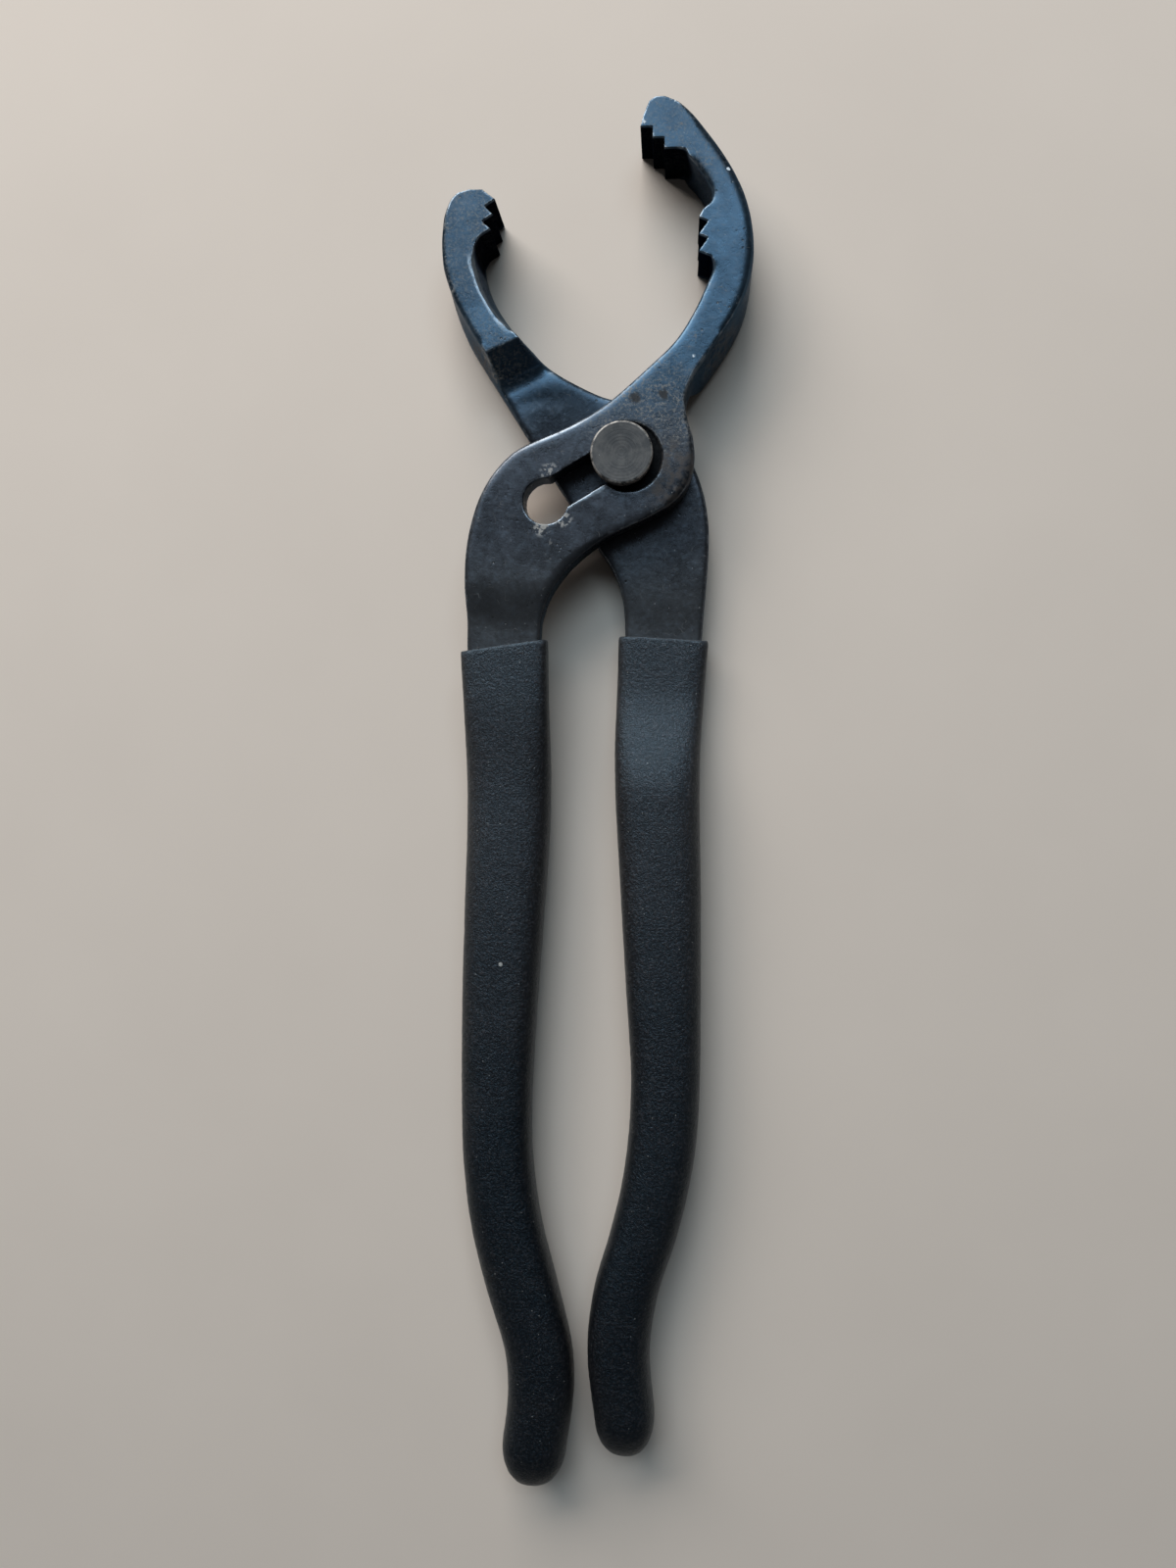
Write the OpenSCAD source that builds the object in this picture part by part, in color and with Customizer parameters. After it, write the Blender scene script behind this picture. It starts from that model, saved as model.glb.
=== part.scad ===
// Two-position slip-joint pliers for gripping round canisters.
//
// Frame: the origin is on the rivet axis, at the underside of the lower lever.
// X runs across the handles, Y runs toward the jaw tips, Z runs up through the
// rivet head. All lengths are millimetres and all angles are degrees.
//
// The upper lever carries the long jaw, the slot and the left handle.
// The lower lever carries the short jaw, the rivet bore and the right handle.

/* [Levers] */
// Depth of both jaws, measured along the rivet
jaw_depth = 15; // [12:0.5:20]
// Free space between the two crossing plates
plate_gap = 0.2; // [0.1:0.05:0.4]
// Distance along the lower jaw arm over which its full depth ramps down
lower_ramp_run = 5.6; // [3:0.1:8]
// Distance along the upper jaw arm over which its full depth ramps up
upper_ramp_run = 3.5; // [2:0.1:6]
// Depth of each tang where it enters its grip
mouth_depth = 5.5; // [4:0.1:6]
// Depth of each tang along the handle
tang_depth = 7; // [5:0.1:8]

/* [Slot] */
// Diameter of the round seat at each end of the slot
seat_diameter = 9.5; // [9.4:0.1:10]
// Width of the neck between the two seats
neck_width = 7.2; // [7.15:0.05:7.6]
// Distance between the two seats
seat_spacing = 18.7; // [14:0.1:20]
// Direction from the first seat to the second, anticlockwise from X
slot_angle = 210; // [205:1:215]
// How far the arc of the neck turns the rivet between the two seats
shift_turn = 5.5; // [5:0.1:7]
// Diameter of the shallow hollow that surrounds the first seat
hollow_diameter = 14.4; // [13:0.1:16]
// Depth of that hollow
hollow_depth = 0.7; // [0.3:0.1:1.5]

/* [Rivet] */
// Diameter of the rivet head
head_diameter = 13; // [11:0.1:16]
// Height of the rivet head
head_height = 2.9; // [2:0.1:4]
// Width of the bevel round the top of the head
head_bevel = 0.5; // [0.2:0.1:1]
// Diameter of the shank inside the slot
shank_diameter = 8.9; // [8:0.1:8.9]
// Distance between the two flats on the shank
shank_flats = 7; // [6:0.1:7]
// Diameter of the journal inside the lower lever
journal_diameter = 9; // [8:0.1:9]
// Radial clearance of the turning fits
turning_clearance = 0.05; // [0.02:0.01:0.1]
// Diameter of the tail that holds the washer
tail_diameter = 11.5; // [10:0.1:12.5]
// Thickness of the tail
tail_height = 0.6; // [0.4:0.1:1]

/* [Washer] */
// Outside diameter of the washer
washer_diameter = 13.9; // [13:0.1:18]
// Thickness of the washer
washer_thickness = 1.2; // [0.8:0.1:1.5]

/* [Grips] */
// Thickness of the grip wall at its open end
mouth_wall = 1.5; // [1:0.1:2]
// Thickness of the grip wall along the sides of the handle
side_wall = 2.2; // [1.5:0.1:3]
// Depth of each grip along the handle
grip_depth = 12.6; // [11:0.1:15]
// Clearance between each grip and its tang
grip_fit = 0.1; // [0.05:0.05:0.2]
// Length of the rounded end of each grip
nose_length = 10; // [8:0.5:12]

/* [Hidden] */
$fn = 64;

// Points added between neighbouring control points of a smooth outline.
outline_steps = 4;
handle_steps = 5;
// Points round one grip section, a multiple of eight.
section_points = 24;
nose_steps = 5;
// Sides of the two wide circles that bound the neck.
arc_sides = 720;
// Overshoot that keeps a cut from sharing a face with what it cuts.
over = 1;
far = 300;

mid_plane = jaw_depth / 2;
lower_top = mid_plane - plate_gap / 2;
upper_base = mid_plane + plate_gap / 2;
head_base = jaw_depth + 0.1;
washer_base = tail_height + 0.1;
recess_depth = washer_base + washer_thickness + 0.1;
seat_two = seat_spacing * [cos(slot_angle), sin(slot_angle)];
// The neck is a shallow arc about this centre, so the shift also spreads the handles.
shift_radius = seat_spacing / (2 * sin(shift_turn / 2));
shift_centre = seat_two / 2
    + shift_radius * cos(shift_turn / 2) * [cos(slot_angle + 90), sin(slot_angle + 90)];
hollow_centre = [1.3, -0.4];

// Places along Y where the handles change level.
plate_end = -26;
mouth_start = -36;
joggle_start = -48;
joggle_end = -72;

// Direction from each full-depth jaw toward the joint, and where its ramp ends.
lower_ramp_angle = -65;
lower_ramp_end = -25.9;
upper_ramp_angle = -112;
upper_ramp_end = -17.5;

// Each row is one station of a handle: Y, centre in X and grip width.
upper_stations = [
    [-39.5, -25.6, 19], [-52, -25.3, 18.9], [-65, -25.1, 18.9], [-80, -25.3, 18.7],
    [-100, -26.4, 18.1], [-120, -27.5, 17.2], [-140, -28.2, 16.2], [-155, -28, 16],
    [-170, -26.2, 16.4], [-185, -22.6, 16.6], [-199, -19, 15.7], [-210, -18.5, 15.4],
    [-222, -20, 15.2]
];
lower_stations = [
    [-37.8, 8.8, 19.9], [-50, 8.2, 19.5], [-62, 7.6, 19.1], [-75, 7.7, 18.7],
    [-90, 8.3, 18.2], [-105, 8.8, 17.5], [-120, 9.3, 16.6], [-135, 9.7, 15.7],
    [-148, 9.2, 15.6], [-160, 7.6, 15.5], [-172, 4.8, 15.4], [-185, 1, 15],
    [-199, -0.7, 14.5], [-214, 0.7, 14.2]
];
// Slope of the open end of each grip, and the shift in X of its rounded end.
upper_mouth_slope = 0.14;
lower_mouth_slope = -0.06;
upper_nose_shift = -0.8;
lower_nose_shift = 0.2;
// Distance from the last station back to the end of the tang.
tang_setback = 8;

// Outer edge of the upper lever, from the jaw tip round the boss to the grip.
upper_outer_edge = [
    [8.5, 72.4], [13, 70.2], [17.6, 65.6], [22, 59.6], [25.4, 53], [27.2, 45.5], [27.2, 38],
    [25.6, 30.2], [21.6, 22.8], [17, 16.4], [14.4, 12.2], [13.8, 8.5], [14.9, 3.5],
    [15.3, -1.5], [13.8, -6.8], [10, -10.8], [4, -14], [-1.5, -16.4], [-7, -19.8],
    [-12, -24.4], [-15.5, -29.6], [-17.4, -35]
];
// Edge of the upper lever from its grip up the far side to the lower teeth.
upper_inner_edge = [
    [-33.5, -34], [-33.8, -28], [-33.6, -21], [-32.5, -14.5], [-30.4, -8.2], [-27.2, -3],
    [-23, 1.1], [-18, 3.6], [-12.5, 5.8], [-6.5, 8.8], [-1.5, 12.2], [5, 17.8],
    [11, 23.4], [14.8, 29.2], [17.2, 34.2], [18.8, 38], [18.3, 40.3]
];
// Hollow between the two sets of teeth on the long jaw.
upper_jaw_hollow = [
    [16.6, 49.6], [18.3, 51.4], [18.2, 53.8], [16.4, 56.8], [13.8, 60], [13, 61.6]
];
// Outer edge of the lower lever, from the jaw tip down to its grip.
lower_outer_edge = [
    [-35.9, 53.2], [-37.4, 49.8], [-38.1, 44.6], [-38, 39], [-36.7, 33], [-34, 26.4],
    [-30.4, 20.4], [-26.9, 14.9], [-20.7, 5], [-14.4, -4.8], [-11.5, -9.3], [-5.6, -18.4],
    [-3, -22.2], [-1.2, -26], [-0.1, -30], [0.3, -34]
];
// Edge of the lower lever from its grip, round the boss, up to the teeth.
lower_inner_edge = [
    [17.5, -34], [18, -28], [18.4, -22], [18.6, -15.5], [18, -9.5], [16.7, -4.5],
    [14.9, 0], [12.6, 5.4], [9, 9.6], [4, 12.4], [-3.5, 13.8], [-9.8, 16.6],
    [-15, 19.6], [-20.3, 24], [-25.2, 29.8], [-28.4, 35.4], [-30.2, 40.4], [-30.8, 43.6]
];

// Teeth: first tip, step from tip to tip, and step from a tip to its root.
tooth_count = 3;
long_jaw_tip_teeth = [[3.6, 66.4], [2.5, -2.2], [2.5, 0]];
long_jaw_heel_teeth = [[15.7, 48], [0, -3.4], [2, -0.8]];
short_jaw_teeth = [[-26.5, 52.8], [-0.5, -3], [-2.3, -1.4]];

// Point between p1 and p2 on the smooth curve through four control points.
function curve_point(p0, p1, p2, p3, t) =
    (2 * p1 + (p2 - p0) * t
    + (2 * p0 - 5 * p1 + 4 * p2 - p3) * t * t
    + (3 * p1 - p0 - 3 * p2 + p3) * t * t * t) / 2;

// Smooth curve through a list of control points.
function smooth(points, steps) = [
    for (i = [0 : len(points) - 2])
        for (k = [0 : steps - 1])
            curve_point(
                points[max(i - 1, 0)], points[i], points[i + 1],
                points[min(i + 2, len(points) - 1)], k / steps),
    points[len(points) - 1]
];

function reversed(list) = [for (i = [len(list) - 1 : -1 : 0]) list[i]];

// Tips and roots of one row of teeth.
function teeth(row) = [
    for (i = [0 : tooth_count - 1])
        for (point = [row[0] + i * row[1], row[0] + i * row[1] + row[2]])
            point
];

// Goes from 0 to 1 with a gentle start and finish.
function ease(t) = t <= 0 ? 0 : t >= 1 ? 1 : t * t * (3 - 2 * t);
function between(a, b, y, y_a, y_b) = a + (b - a) * ease((y - y_a) / (y_b - y_a));

// Height of a handle face whose plate, mouth and handle levels are given.
function face_height(levels, y) =
    y > joggle_start
        ? between(levels[0], levels[1], y, plate_end, mouth_start)
        : between(levels[1], levels[2], y, joggle_start, joggle_end);

upper_faces = [
    [upper_base, jaw_depth - mouth_wall - mouth_depth, mid_plane - tang_depth / 2],
    [jaw_depth, jaw_depth - mouth_wall, mid_plane + tang_depth / 2]
];
lower_faces = [
    [0, mouth_wall, mid_plane - tang_depth / 2],
    [lower_top, mouth_wall + mouth_depth, mid_plane + tang_depth / 2]
];

function wall_at(y) = between(mouth_wall, side_wall, y, joggle_start, joggle_end);
function skin_at(y) =
    between(mouth_wall, (grip_depth - tang_depth) / 2, y, joggle_start, joggle_end);

function tang_end(stations) = stations[len(stations) - 1][0] + tang_setback;
// Stations of a handle that lie along its tang.
function tang_rows(stations) =
    [for (s = smooth(stations, handle_steps)) if (s[0] > tang_end(stations)) s];
// One edge of a tang; side is -1 for its left edge and 1 for its right edge.
function tang_edge(stations, side) =
    [for (s = tang_rows(stations)) [s[1] + side * (s[2] / 2 - wall_at(s[0])), s[0]]];

upper_plan = concat(
    [[4.2, 68.6], [5.4, 71.4], [6.7, 72.3]],
    smooth(upper_outer_edge, outline_steps),
    tang_edge(upper_stations, 1),
    reversed(tang_edge(upper_stations, -1)),
    smooth(upper_inner_edge, outline_steps),
    reversed(teeth(long_jaw_heel_teeth)),
    smooth(upper_jaw_hollow, outline_steps),
    reversed(teeth(long_jaw_tip_teeth))
);
lower_plan = concat(
    [[-29.2, 54.8], [-32, 55], [-34.6, 54.3]],
    smooth(lower_outer_edge, outline_steps),
    tang_edge(lower_stations, -1),
    reversed(tang_edge(lower_stations, 1)),
    smooth(lower_inner_edge, outline_steps),
    reversed(teeth(short_jaw_teeth))
);

// Side view of a handle between its two faces, as Y and Z pairs.
function side_rows(stations, y_max) =
    concat([y_max, plate_end], [for (k = [1 : 4]) plate_end + k * (mouth_start - plate_end) / 4],
        [for (s = tang_rows(stations)) s[0]]);
function side_view(stations, faces, y_max, jaw_low, jaw_high) =
    let (rows = side_rows(stations, y_max))
    concat(
        [[far, jaw_low], [y_max, jaw_low]],
        [for (y = rows) [y, face_height(faces[0], y)]],
        [for (y = reversed(rows)) [y, face_height(faces[1], y)]],
        [[y_max, jaw_high], [far, jaw_high]]
    );

// Solid whose outline across X is the given Y and Z polygon.
module across(outline) {
    translate([-far / 2, 0, 0])
        rotate([90, 0, 90])
            linear_extrude(height = far)
                polygon(outline);
}

// Solid whose outline runs along the direction given by an angle about Z.
module along(angle, outline) {
    rotate([0, 0, angle])
        translate([0, far / 2, 0])
            rotate([90, 0, 0])
                linear_extrude(height = far)
                    polygon(outline);
}

// Room under the upper lever for the lower lever's plate.
module upper_step() {
    along(upper_ramp_angle, [
        [upper_ramp_end - upper_ramp_run * (1 + over / upper_base), -over],
        [upper_ramp_end, upper_base],
        [40, upper_base],
        [40, -over]
    ]);
}

// Room above the lower lever for the upper lever's plate.
module lower_step() {
    rise = jaw_depth - lower_top;
    along(lower_ramp_angle, [
        [lower_ramp_end, lower_top],
        [lower_ramp_end - lower_ramp_run * (1 + over / rise), jaw_depth + over],
        [40, jaw_depth + over],
        [40, lower_top]
    ]);
}

// Ring about the centre of the shift, as wide as the neck.
module neck_ring(height) {
    translate(shift_centre)
        difference() {
            cylinder(h = height, r = shift_radius + neck_width / 2, $fn = arc_sides);
            translate([0, 0, -over])
                cylinder(
                    h = height + 2 * over, r = shift_radius - neck_width / 2, $fn = arc_sides);
        }
}

// Slot with a round seat at each end and an arc of the ring as its neck.
module slot() {
    height = jaw_depth + 2 * over;
    translate([0, 0, -over]) {
        cylinder(h = height, d = seat_diameter);
        translate(seat_two)
            cylinder(h = height, d = seat_diameter);
        intersection() {
            neck_ring(height);
            rotate([0, 0, slot_angle])
                translate([0, -seat_diameter / 2, 0])
                    cube([seat_spacing, seat_diameter, height]);
        }
    }
}

// Shallow hollow, set a little off the rivet axis.
module seat_hollow() {
    translate([hollow_centre[0], hollow_centre[1], jaw_depth - hollow_depth])
        cylinder(h = hollow_depth + over, d = hollow_diameter);
}

// Round bore for the journal, with a recess for the washer.
module pivot_bore() {
    translate([0, 0, -over])
        cylinder(h = jaw_depth, d = journal_diameter + 2 * turning_clearance);
    translate([0, 0, -over])
        cylinder(h = recess_depth + over, d = washer_diameter + 2 * turning_clearance);
}

module upper_lever() {
    color([0.12, 0.13, 0.15])
        difference() {
            intersection() {
                linear_extrude(height = jaw_depth)
                    polygon(upper_plan);
                across(side_view(upper_stations, upper_faces, 5, 0, jaw_depth));
            }
            upper_step();
            slot();
            seat_hollow();
        }
}

module lower_lever() {
    color([0.12, 0.13, 0.15])
        difference() {
            intersection() {
                linear_extrude(height = jaw_depth)
                    polygon(lower_plan);
                across(side_view(lower_stations, lower_faces, 8, 0, jaw_depth));
            }
            lower_step();
            pivot_bore();
        }
}

// Shank with two flats, lined up with the start of the neck.
module flatted_shank() {
    height = head_base - mid_plane + over;
    translate([0, 0, mid_plane])
        difference() {
            cylinder(h = height, d = shank_diameter);
            for (side = [0, 180])
                rotate([0, 0, slot_angle - shift_turn / 2 + side])
                    translate([-shank_diameter, shank_flats / 2, -over])
                        cube([2 * shank_diameter, shank_diameter, height + 2 * over]);
        }
}

module rivet() {
    color([0.36, 0.34, 0.32]) {
        cylinder(h = tail_height, d1 = tail_diameter - 2 * tail_height, d2 = tail_diameter);
        cylinder(h = mid_plane, d = journal_diameter);
        flatted_shank();
        translate([0, 0, head_base])
            cylinder(h = head_height - head_bevel, d = head_diameter);
        translate([0, 0, head_base + head_height - head_bevel])
            cylinder(h = head_bevel, d1 = head_diameter, d2 = head_diameter - 2 * head_bevel);
    }
}

module washer() {
    color([0.42, 0.41, 0.4])
        translate([0, 0, washer_base])
            difference() {
                cylinder(h = washer_thickness, d = washer_diameter);
                translate([0, 0, -over])
                    cylinder(
                        h = washer_thickness + 2 * over,
                        d = journal_diameter + 2 * turning_clearance);
            }
}

// Point on a rounded box section; a low power gives an oval.
function oval_point(angle, power) = [
    sign(cos(angle)) * pow(abs(cos(angle)), 2 / power),
    sign(sin(angle)) * pow(abs(sin(angle)), 2 / power)
];
// Point on a square section, with corners at 45 degrees.
function box_point(angle) = [
    max(-1, min(1, sqrt(2) * cos(angle))),
    max(-1, min(1, sqrt(2) * sin(angle)))
];

// How far the slope of the open end is felt at this place along the grip.
function mouth_fade(stations, y) = 1 - ease((stations[0][0] - y) / 18);
function middle(faces, y) = (face_height(faces[0], y) + face_height(faces[1], y)) / 2;
function half_tang(faces, y) = (face_height(faces[1], y) - face_height(faces[0], y)) / 2;
function section_power(y) = between(5, 2.8, y, mouth_start, joggle_end);

// Ring of points whose centre is shifted and whose size is given by half sizes.
function ring(centre, halves, y, slope, unit) = [
    for (i = [0 : section_points - 1])
        let (p = unit[i])
        [centre[0] + halves[0] * p[0], y + slope * halves[0] * p[0], centre[1] + halves[1] * p[1]]
];
function oval_unit(power) =
    [for (i = [0 : section_points - 1]) oval_point(360 * i / section_points, power)];
function box_unit() =
    [for (i = [0 : section_points - 1]) box_point(360 * i / section_points)];

function skin_ring(s, stations, faces, slope) =
    ring([s[1], middle(faces, s[0])],
        [s[2] / 2, half_tang(faces, s[0]) + skin_at(s[0])],
        s[0], slope * mouth_fade(stations, s[0]), oval_unit(section_power(s[0])));
function space_ring(s, stations, faces, slope) =
    ring([s[1], middle(faces, s[0])],
        [s[2] / 2 - wall_at(s[0]) + grip_fit, half_tang(faces, s[0]) + grip_fit],
        s[0], slope * mouth_fade(stations, s[0]), box_unit());
// Small ring that closes the floor of the space for the tang.
function floor_ring(s, faces) = ring([s[1], middle(faces, s[0])], [1, 1], s[0], 0, oval_unit(2));
// Rings of the rounded end; turn goes from 0 at its start to 90 at its tip.
function nose_ring(s, faces, shift, turn) =
    ring([s[1] + shift * (1 - cos(turn)), middle(faces, s[0])],
        max(cos(turn), 0.01) * [s[2] / 2, grip_depth / 2],
        s[0] - nose_length * sin(turn), 0, oval_unit(section_power(s[0])));

// Faces that join each ring to the next, with flat caps on the first and last.
function tube_faces(rings) =
    let (n = section_points)
    concat(
        [for (r = [0 : rings - 2])
            for (i = [0 : n - 1])
                [r * n + i, (r + 1) * n + i, (r + 1) * n + (i + 1) % n, r * n + (i + 1) % n]],
        [[for (i = [0 : n - 1]) i]],
        [[for (i = [n - 1 : -1 : 0]) (rings - 1) * n + i]]
    );

// Closed sleeve over one tang, open at its first station.
module sleeve(stations, faces, slope, shift) {
    rows = smooth(stations, handle_steps);
    tang = reversed(tang_rows(stations));
    last = stations[len(stations) - 1];
    rings = concat(
        [floor_ring(tang[0], faces)],
        [for (s = tang) space_ring(s, stations, faces, slope)],
        [for (s = rows) skin_ring(s, stations, faces, slope)],
        [for (k = [1 : nose_steps]) nose_ring(last, faces, shift, 90 * k / nose_steps)]
    );
    polyhedron(
        points = [for (r = rings) for (p = r) p],
        faces = tube_faces(len(rings)),
        convexity = 6);
}

module upper_grip() {
    color([0.06, 0.06, 0.07])
        sleeve(upper_stations, upper_faces, upper_mouth_slope, upper_nose_shift);
}

module lower_grip() {
    color([0.06, 0.06, 0.07])
        sleeve(lower_stations, lower_faces, lower_mouth_slope, lower_nose_shift);
}

upper_lever();
lower_lever();
rivet();
washer();
upper_grip();
lower_grip();
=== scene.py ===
"""Looks for the slip-joint pliers: forged black levers, a turned rivet and dipped sleeves.

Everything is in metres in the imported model's frame. X runs across the handles,
Y toward the jaw tips and Z up through the rivet head.
"""

import math

import bmesh
import bpy
import numpy as np
from mathutils import Matrix, Vector, noise


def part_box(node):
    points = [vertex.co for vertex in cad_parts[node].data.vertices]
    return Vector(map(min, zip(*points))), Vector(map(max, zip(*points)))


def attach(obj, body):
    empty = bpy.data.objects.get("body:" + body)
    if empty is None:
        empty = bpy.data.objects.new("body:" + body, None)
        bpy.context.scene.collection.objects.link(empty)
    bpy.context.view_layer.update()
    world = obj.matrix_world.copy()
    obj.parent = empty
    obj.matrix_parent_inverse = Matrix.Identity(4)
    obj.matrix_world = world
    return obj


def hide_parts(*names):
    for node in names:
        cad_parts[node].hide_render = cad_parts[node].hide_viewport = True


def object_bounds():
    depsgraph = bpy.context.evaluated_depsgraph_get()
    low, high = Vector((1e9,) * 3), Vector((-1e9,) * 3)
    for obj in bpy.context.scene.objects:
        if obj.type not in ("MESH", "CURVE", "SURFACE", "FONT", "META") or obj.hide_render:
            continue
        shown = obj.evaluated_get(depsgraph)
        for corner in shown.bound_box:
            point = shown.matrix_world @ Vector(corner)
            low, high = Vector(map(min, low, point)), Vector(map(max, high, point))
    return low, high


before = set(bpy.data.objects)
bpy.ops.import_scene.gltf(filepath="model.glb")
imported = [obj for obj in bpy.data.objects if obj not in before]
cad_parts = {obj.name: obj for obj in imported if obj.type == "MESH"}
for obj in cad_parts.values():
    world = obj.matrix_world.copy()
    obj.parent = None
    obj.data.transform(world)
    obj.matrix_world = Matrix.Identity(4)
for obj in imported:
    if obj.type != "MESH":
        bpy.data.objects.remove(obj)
cad_low, cad_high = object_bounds()

MM = 0.001


# ---------------------------------------------------------------- mesh tools

def link(name, mesh):
    """New object in the scene that holds mesh."""
    mesh.name = name
    piece = bpy.data.objects.new(name, mesh)
    bpy.context.scene.collection.objects.link(piece)
    return piece


def applied(piece):
    """Replaces the piece's mesh by the result of its modifiers."""
    graph = bpy.context.evaluated_depsgraph_get()
    mesh = bpy.data.meshes.new_from_object(piece.evaluated_get(graph))
    piece.modifiers.clear()
    old = piece.data
    piece.data = mesh
    mesh.name = piece.name
    bpy.data.meshes.remove(old)


def welded_copy(name, node):
    """Copy of a CAD node as one closed mesh, with no material."""
    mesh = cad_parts[node].data.copy()
    mesh.materials.clear()
    shape = bmesh.new()
    shape.from_mesh(mesh)
    bmesh.ops.remove_doubles(shape, verts=shape.verts, dist=1e-4 * MM)
    shape.to_mesh(mesh)
    shape.free()
    names = [stored.name for stored in mesh.attributes]
    for stored in names:
        if stored.startswith(("UVMap", "custom_normal")):
            mesh.attributes.remove(mesh.attributes[stored])
    return link(name, mesh)


def combine(piece, other, operation):
    """Boolean of two closed meshes; other is used up."""
    join = piece.modifiers.new("join", "BOOLEAN")
    join.operation = operation
    join.solver = "MANIFOLD"
    join.object = other
    applied(piece)
    bpy.data.objects.remove(other)


def block(low, high):
    """Plain box used to cut other pieces; its corners are in metres."""
    shape = bmesh.new()
    bmesh.ops.create_cube(shape, size=1)
    for corner in shape.verts:
        corner.co = Vector([low[i] if corner.co[i] < 0 else high[i] for i in range(3)])
    mesh = bpy.data.meshes.new("block")
    shape.to_mesh(mesh)
    shape.free()
    return link("block", mesh)


def even(piece, size):
    """Remakes the piece as small even quads."""
    remesh = piece.modifiers.new("even", "REMESH")
    remesh.mode = "VOXEL"
    remesh.voxel_size = size
    applied(piece)


def points_of(mesh):
    points = np.zeros(len(mesh.vertices) * 3, np.float32)
    mesh.vertices.foreach_get("co", points)
    return points.reshape(-1, 3).astype(float)


def put_points(mesh, points):
    mesh.vertices.foreach_set("co", points.astype(np.float32).ravel())
    mesh.update()


def normals_of(mesh):
    normals = np.zeros(len(mesh.vertices) * 3, np.float32)
    mesh.vertex_normals.foreach_get("vector", normals)
    return normals.reshape(-1, 3).astype(float)


def neighbours(mesh):
    """Each edge both ways, as two lists of vertices, and one over each vertex's edge count."""
    ends = np.zeros(len(mesh.edges) * 2, np.int32)
    mesh.edges.foreach_get("vertices", ends)
    ends = ends.reshape(-1, 2)
    first = np.concatenate([ends[:, 0], ends[:, 1]])
    second = np.concatenate([ends[:, 1], ends[:, 0]])
    share = 1.0 / np.maximum(np.bincount(first, minlength=len(mesh.vertices)), 1)
    return first, second, share


def relax(mesh, strength, rounds):
    """Moves each vertex toward the middle of its neighbours; strength is one number per vertex."""
    first, second, share = neighbours(mesh)
    strength = np.where(strength > 0.001, strength, 0)
    moving = strength[first] > 0
    first, second = first[moving], second[moving]
    points = points_of(mesh)
    for _ in range(rounds):
        for axis in range(3):
            middle = np.bincount(first, points[second, axis], len(points)) * share
            points[:, axis] += strength * (middle - points[:, axis])
    put_points(mesh, points)


def thin(piece, ratio):
    """Fewer faces where the surface is flat."""
    fewer = piece.modifiers.new("fewer", "DECIMATE")
    fewer.ratio = ratio
    applied(piece)


def dress(mesh, paint):
    """Smooth shading and one material all over."""
    mesh.materials.clear()
    mesh.materials.append(paint)
    mesh.polygons.foreach_set("material_index", np.zeros(len(mesh.polygons), np.int32))
    mesh.polygons.foreach_set("use_smooth", np.ones(len(mesh.polygons), bool))
    mesh.update()


def smooth_step(value, low, high):
    """0 at low, 1 at high, smooth between; low may be the larger."""
    share = np.clip((value - low) / (high - low), 0, 1)
    return share * share * (3 - 2 * share)


def near(points, centre, inner, outer):
    """1 within inner of a centre in X and Y, falling to 0 at outer."""
    away = np.hypot(points[:, 0] - centre[0] * MM, points[:, 1] - centre[1] * MM)
    return smooth_step(away, outer * MM, inner * MM)


def along_line(points, line):
    """Distance of each point from a line in X and Y, how far to its right, and the line's value.

    Rows of line are X, Y and any value, in millimetres; the value is interpolated.
    """
    away = np.full(len(points), np.inf)
    right = np.zeros((len(points), 2))
    value = np.zeros(len(points))
    inside = np.zeros(len(points))
    for start, end in zip(line[:-1], line[1:]):
        start, end = np.array(start, float), np.array(end, float)
        step = end[:2] - start[:2]
        offset = points[:, :2] / MM - start[:2]
        share = np.clip(offset @ step / (step @ step), 0, 1)
        gap = offset - share[:, None] * step
        distance = np.hypot(gap[:, 0], gap[:, 1])
        closer = distance < away
        away[closer] = distance[closer]
        side = np.array([step[1], -step[0]]) / np.hypot(*step)
        right[closer] = side
        inside[closer] = (gap @ side)[closer]
        value[closer] = (start[2] + share * (end[2] - start[2]))[closer]
    return away, inside, right, value


def draft(mesh, line, reach, bottom, top):
    """Leans a side wall inward: the line's value is how far it moves, in mm, at height top.

    The lever lies to the right of the line; the move dies out over reach inside the wall.
    """
    points = points_of(mesh)
    away, inside, right, value = along_line(points, line)
    share = smooth_step(np.abs(inside), reach, 0) * smooth_step(away, reach + 1, reach)
    share *= smooth_step(points[:, 2], bottom * MM, top * MM)
    points[:, :2] += (share * value * MM)[:, None] * right
    put_points(mesh, points)


def trough(mesh, line, reach, top):
    """Presses a shallow trough into the flat at height top; the line's value is its depth."""
    points = points_of(mesh)
    away, _, _, value = along_line(points, line)
    level = smooth_step(np.abs(points[:, 2] - top * MM), 1.2 * MM, 0.4 * MM)
    points[:, 2] -= smooth_step(away, reach, 0) * value * MM * level
    put_points(mesh, points)


# ---------------------------------------------------------------- materials

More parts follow.
